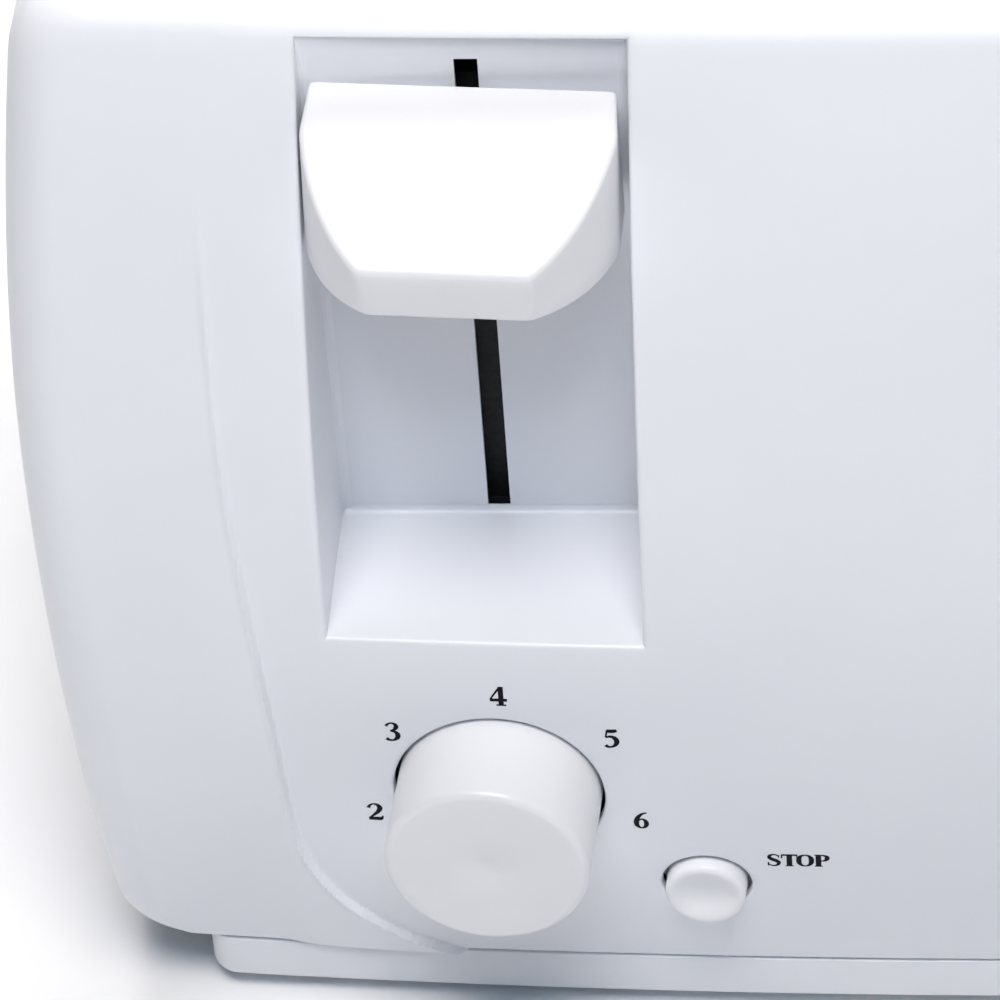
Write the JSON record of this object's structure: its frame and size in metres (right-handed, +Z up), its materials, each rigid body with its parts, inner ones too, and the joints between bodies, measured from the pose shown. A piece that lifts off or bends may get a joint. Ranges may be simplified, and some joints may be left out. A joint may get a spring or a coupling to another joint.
{
  "type": "pop up toaster",
  "caption": "White pop-up toaster with long bread slots, twin lever recesses, browning dials, stop buttons and pull-out crumb trays.",
  "frame": {"origin": "centre of the overall box at the level the feet stand on", "axes": "+Z up, -Y out of the control face, +X to the right as seen from the controls"},
  "size_m": [0.2778, 0.2868, 0.1855],
  "materials": {
    "shell_plastic": "satin moulded, white",
    "control_plastic": "smooth moulded, white",
    "base_plastic": "fine satin, cool white",
    "steel": "plain zinc-plated sheet",
    "wire": "bright drawn wire",
    "mica": "layered mica sheet",
    "heater_strip": "oxidised resistance strip",
    "copper": "enamelled winding on a steel yoke",
    "circuit_board": "solder-masked laminate",
    "rubber": "moulded black",
    "print_ink": "pad-printed black"
  },
  "bodies": {
    "housing": {"front_cover": "shell_plastic", "centre_shell": "shell_plastic", "rear_cover": "shell_plastic", "base_plinth": "base_plastic", "cord_bushing": "rubber", "front_bulkhead": "steel", "rear_bulkhead": "steel", "control_board_left": "circuit_board", "guide_rod_left": "wire", "lift_spring_left": "wire", "latch_magnet_left": "copper", "mica_card_left_1": "mica", "mica_card_left_2": "mica", "mica_card_left_3": "mica", "heater_ribbon_left_1": "heater_strip", "heater_ribbon_left_2": "heater_strip", "heater_ribbon_left_3": "heater_strip", "heater_ribbon_left_4": "heater_strip", "bread_guard_1_left": "wire", "bread_guard_1_right": "wire", "bread_guard_2_left": "wire", "bread_guard_2_right": "wire", "foot_front_left": "rubber", "base_screw_front_left": "steel", "foot_rear_left": "rubber", "base_screw_rear_left": "steel", "control_board_right": "circuit_board", "guide_rod_right": "wire", "lift_spring_right": "wire", "latch_magnet_right": "copper", "mica_card_right_1": "mica", "mica_card_right_2": "mica", "mica_card_right_3": "mica", "heater_ribbon_right_1": "heater_strip", "heater_ribbon_right_2": "heater_strip", "heater_ribbon_right_3": "heater_strip", "heater_ribbon_right_4": "heater_strip", "bread_guard_3_left": "wire", "bread_guard_3_right": "wire", "bread_guard_4_left": "wire", "bread_guard_4_right": "wire", "foot_front_right": "rubber", "base_screw_front_right": "steel", "foot_rear_right": "rubber", "base_screw_rear_right": "steel"},
    "left_carriage": {"carriage_left": "steel", "lever_paddle_left": "control_plastic", "bread_rack_1": "wire", "bread_rack_2": "wire"},
    "left_browning_knob": {"browning_knob_left": "control_plastic"},
    "left_stop_button": {"stop_button_left": "control_plastic"},
    "left_crumb_tray": {"crumb_tray_left": "steel"},
    "right_carriage": {"carriage_right": "steel", "lever_paddle_right": "control_plastic", "bread_rack_3": "wire", "bread_rack_4": "wire"},
    "right_browning_knob": {"browning_knob_right": "control_plastic"},
    "right_stop_button": {"stop_button_right": "control_plastic"},
    "right_crumb_tray": {"crumb_tray_right": "steel"}
  },
  "joints": [
    {"name": "left_lever_slide", "type": "slide", "parent": "housing", "child": "left_carriage", "axis": [0, 0, -1], "range_m": [0, 0.057], "stiffness_N_per_m": 90, "springref_m": -0.045, "deforming": ["lift_spring_left"]},
    {"name": "left_browning_turn", "type": "hinge", "parent": "housing", "child": "left_browning_knob", "pos_m": [-0.068, -0.1264, 0.055], "axis": [0.061, 0.9981, 0], "range_deg": [-156, 156]},
    {"name": "left_stop_press", "type": "slide", "parent": "housing", "child": "left_stop_button", "axis": [0.061, 0.9981, 0], "range_m": [0, 0.0022], "stiffness_N_per_m": 300, "springref_m": -0.0015},
    {"name": "left_tray_pull", "type": "slide", "parent": "housing", "child": "left_crumb_tray", "axis": [0, 1, 0], "range_m": [0, 0.19]},
    {"name": "right_lever_slide", "type": "slide", "parent": "housing", "child": "right_carriage", "axis": [0, 0, -1], "range_m": [0, 0.057], "stiffness_N_per_m": 90, "springref_m": -0.045, "deforming": ["lift_spring_right"]},
    {"name": "right_browning_turn", "type": "hinge", "parent": "housing", "child": "right_browning_knob", "pos_m": [0.068, -0.1264, 0.055], "axis": [-0.061, 0.9981, 0], "range_deg": [-156, 156]},
    {"name": "right_stop_press", "type": "slide", "parent": "housing", "child": "right_stop_button", "axis": [-0.061, 0.9981, 0], "range_m": [0, 0.0022], "stiffness_N_per_m": 300, "springref_m": -0.0015},
    {"name": "right_tray_pull", "type": "slide", "parent": "housing", "child": "right_crumb_tray", "axis": [0, 1, 0], "range_m": [0, 0.19]}
  ]
}
